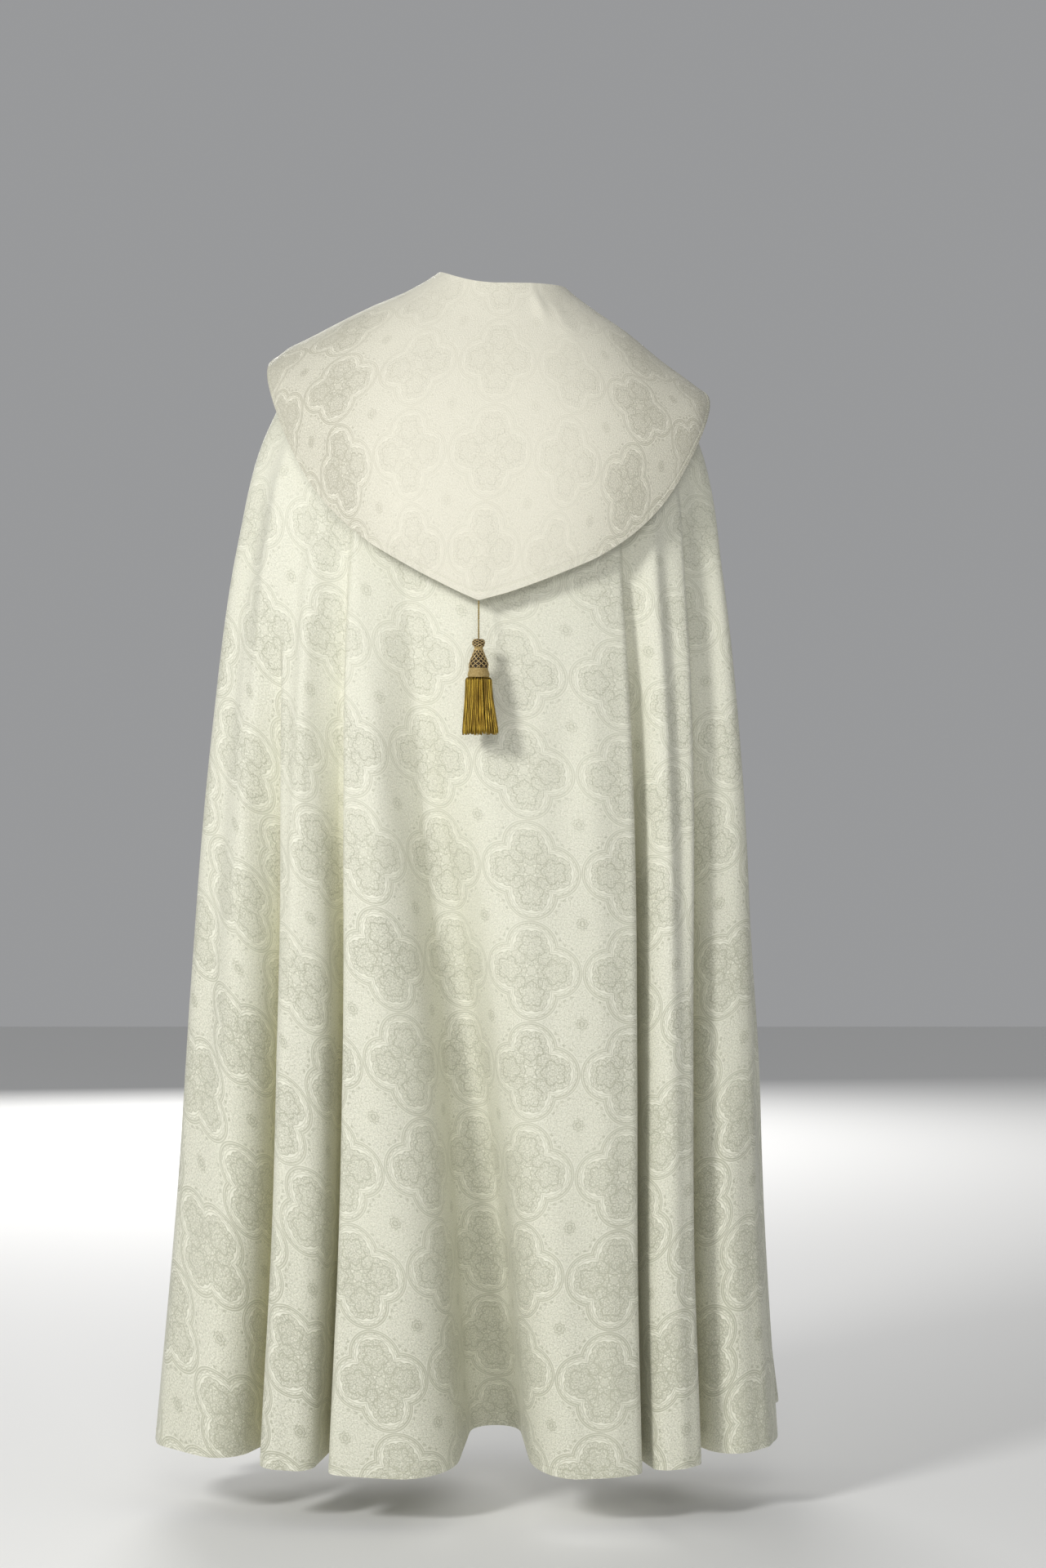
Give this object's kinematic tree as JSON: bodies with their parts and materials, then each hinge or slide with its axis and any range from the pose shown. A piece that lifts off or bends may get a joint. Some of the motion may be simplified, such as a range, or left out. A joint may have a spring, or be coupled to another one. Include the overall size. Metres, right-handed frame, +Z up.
{
  "type": "cope vestment",
  "caption": "Long open cloak of ivory damask as worn, with a shield-shaped hood on the back, a gold tassel at its point and a cloth clasp across the chest.",
  "frame": {"origin": "middle of the neck opening, level with the top edge of the cloth at the nape, where the shoulders carry the garment", "axes": "+Z up, the wearer faces -Y, +X is the wearer's left"},
  "size_m": [0.791, 0.527, 1.4777],
  "materials": {
    "damask": "ivory satin damask, the pattern matte on a satin ground",
    "gold": "old-gold metallic thread, twisted bullion"
  },
  "bodies": {
    "root": {"cloak_back": "damask", "cloak_front_left": "damask", "cloak_front_right": "damask", "hood": "damask", "morse": "damask", "tassel_cord": "gold", "tassel": "gold"}
  },
  "joints": []
}
